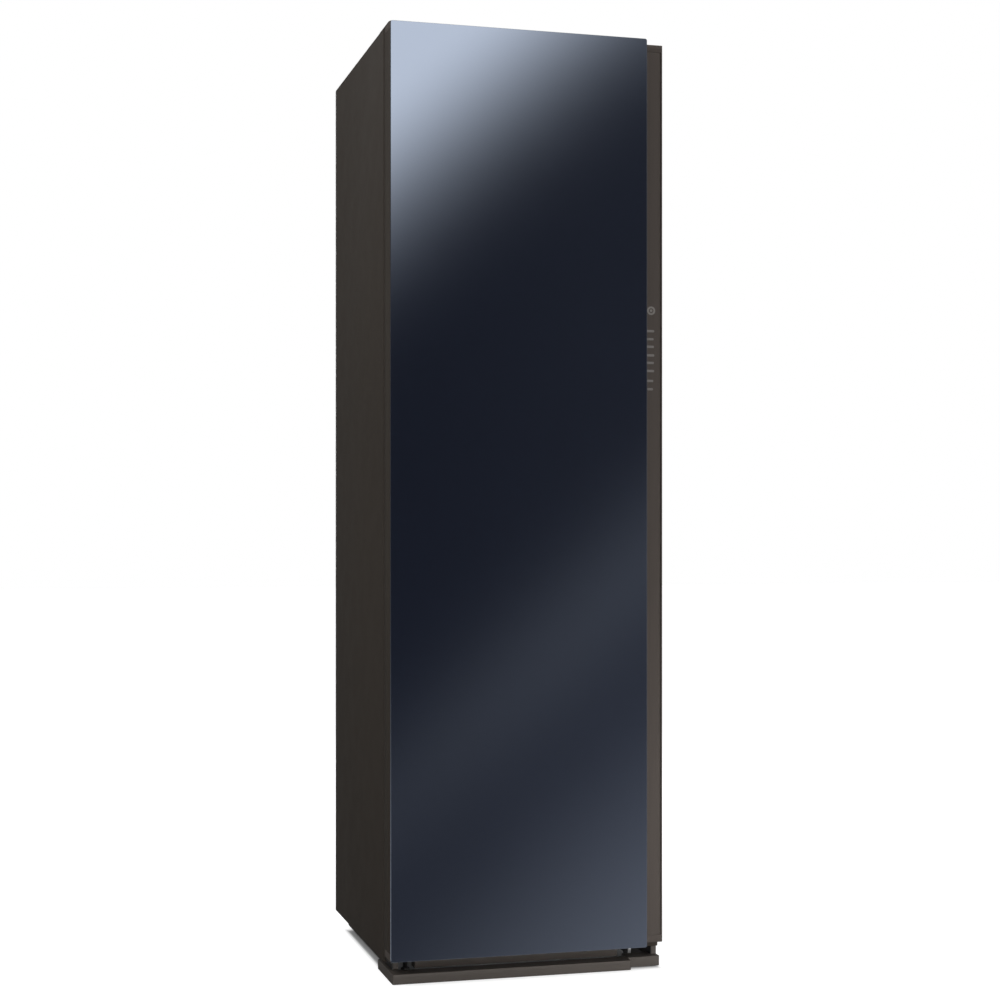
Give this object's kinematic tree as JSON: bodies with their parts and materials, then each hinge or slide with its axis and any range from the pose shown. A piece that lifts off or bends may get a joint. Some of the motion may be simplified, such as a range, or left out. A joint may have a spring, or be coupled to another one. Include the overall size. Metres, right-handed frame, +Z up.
{
  "type": "clothes care steam cabinet",
  "caption": "Tall free-standing clothes care cabinet: dark glass door hinged on the left with a recessed grip strip, chamber with air hangers, water tanks and heat pump below.",
  "frame": {"origin": "middle of the footprint on the floor, under the middle of the bounding box", "axes": "+Z up, -Y towards the person who opens the door, -X the side of the door's hinges"},
  "size_m": [0.595, 0.632, 1.96],
  "materials": {
    "shell_brown": "satin",
    "door_glass": "gloss",
    "strip_metal": "satin",
    "base_metal": "satin",
    "zinc": "satin",
    "dark_plastic": "matte",
    "chamber_plastic": "satin",
    "hanger_plastic": "satin",
    "tank_plastic": "gloss",
    "lamp_cover": "satin",
    "seal": "matte",
    "foam": "matte",
    "circuit": "satin",
    "coil_aluminium": "satin",
    "copper": "satin",
    "black_steel": "satin"
  },
  "bodies": {
    "root": {"side_panel_left": "shell_brown", "side_panel_right": "shell_brown", "top_panel": "shell_brown", "back_panel": "zinc", "base_pan": "zinc", "frame_stile_left": "chamber_plastic", "frame_stile_right": "chamber_plastic", "frame_rail_top": "chamber_plastic", "frame_rail_middle": "chamber_plastic", "frame_rail_bottom": "chamber_plastic", "kick_panel": "base_metal", "base_plate": "base_metal", "cord_gland": "seal", "upper_hinge_bracket": "zinc", "lower_hinge_bracket": "zinc", "hinge_cover": "dark_plastic", "chamber_liner": "chamber_plastic", "insulation_jacket": "foam", "rear_duct": "dark_plastic", "ceiling_duct": "dark_plastic", "air_rail": "hanger_plastic", "light_bar": "lamp_cover", "filter_housing": "dark_plastic", "floor_grille": "dark_plastic", "steam_outlet": "dark_plastic", "tank_bay": "chamber_plastic", "compressor": "black_steel", "steam_generator": "coil_aluminium", "water_pump": "dark_plastic", "control_box": "dark_plastic", "air_tunnel": "foam", "evaporator": "coil_aluminium", "condenser": "coil_aluminium", "blower_housing": "dark_plastic", "steam_hose": "seal"},
    "door": {"door_glass": "door_glass", "door_trim_left": "strip_metal", "grip_strip": "strip_metal", "door_core": "foam", "touch_board": "circuit", "door_cap_top": "dark_plastic", "door_cap_bottom": "dark_plastic", "door_liner": "chamber_plastic", "door_gasket": "seal"},
    "shelf_body": {"shelf": "hanger_plastic"},
    "filter_body": {"lint_filter": "hanger_plastic"},
    "supply_body": {"supply_tank": "tank_plastic", "supply_tank_lid": "dark_plastic"},
    "drain_body": {"drain_tank": "tank_plastic", "drain_tank_lid": "dark_plastic"},
    "hanger_1": {"air_hanger_1": "hanger_plastic"},
    "hanger_2": {"air_hanger_2": "hanger_plastic"},
    "hanger_3": {"air_hanger_3": "hanger_plastic"},
    "hanger_4": {"air_hanger_4": "hanger_plastic"},
    "hanger_5": {"air_hanger_5": "hanger_plastic"},
    "wheel": {"blower_wheel": "dark_plastic"},
    "foot_fl": {"foot_front_left": "dark_plastic"},
    "foot_fr": {"foot_front_right": "dark_plastic"},
    "foot_rl": {"foot_rear_left": "dark_plastic"},
    "foot_rr": {"foot_rear_right": "dark_plastic"}
  },
  "joints": [
    {"name": "door_swing", "type": "hinge", "parent": "root", "child": "door", "pos_m": [-0.2835, -0.276, 0], "axis": [0, 0, -1], "range_deg": [0, 120]},
    {"name": "shelf_slide", "type": "slide", "parent": "root", "child": "shelf_body", "axis": [0, -1, 0], "range_m": [0, 0.06]},
    {"name": "filter_lift", "type": "slide", "parent": "root", "child": "filter_body", "axis": [0, 0, 1], "range_m": [0, 0.15]},
    {"name": "supply_tank_slide", "type": "slide", "parent": "root", "child": "supply_body", "axis": [0, -1, 0], "range_m": [0, 0.05]},
    {"name": "drain_tank_slide", "type": "slide", "parent": "root", "child": "drain_body", "axis": [0, -1, 0], "range_m": [0, 0.05]},
    {"name": "hanger_1_swing", "type": "hinge", "parent": "root", "child": "hanger_1", "pos_m": [-0.19, 0.0022, 1.83], "axis": [1, 0, 0], "range_deg": [-10, 10]},
    {"name": "hanger_2_swing", "type": "hinge", "parent": "root", "child": "hanger_2", "pos_m": [-0.095, 0.0022, 1.83], "axis": [1, 0, 0], "range_deg": [-10, 10]},
    {"name": "hanger_3_swing", "type": "hinge", "parent": "root", "child": "hanger_3", "pos_m": [0, 0.0022, 1.83], "axis": [1, 0, 0], "range_deg": [-10, 10]},
    {"name": "hanger_4_swing", "type": "hinge", "parent": "root", "child": "hanger_4", "pos_m": [0.095, 0.0022, 1.83], "axis": [1, 0, 0], "range_deg": [-10, 10]},
    {"name": "hanger_5_swing", "type": "hinge", "parent": "root", "child": "hanger_5", "pos_m": [0.19, 0.0022, 1.83], "axis": [1, 0, 0], "range_deg": [-10, 10]},
    {"name": "blower_spin", "type": "hinge", "parent": "root", "child": "wheel", "pos_m": [0.072, 0.25, 0.1765], "axis": [0, 1, 0], "continuous": true},
    {"name": "foot_front_left_screw", "type": "slide", "parent": "root", "child": "foot_fl", "axis": [0, 0, -1], "range_m": [0, 0.01]},
    {"name": "foot_front_right_screw", "type": "slide", "parent": "root", "child": "foot_fr", "axis": [0, 0, -1], "range_m": [0, 0.01]},
    {"name": "foot_rear_left_screw", "type": "slide", "parent": "root", "child": "foot_rl", "axis": [0, 0, -1], "range_m": [0, 0.01]},
    {"name": "foot_rear_right_screw", "type": "slide", "parent": "root", "child": "foot_rr", "axis": [0, 0, -1], "range_m": [0, 0.01]}
  ]
}
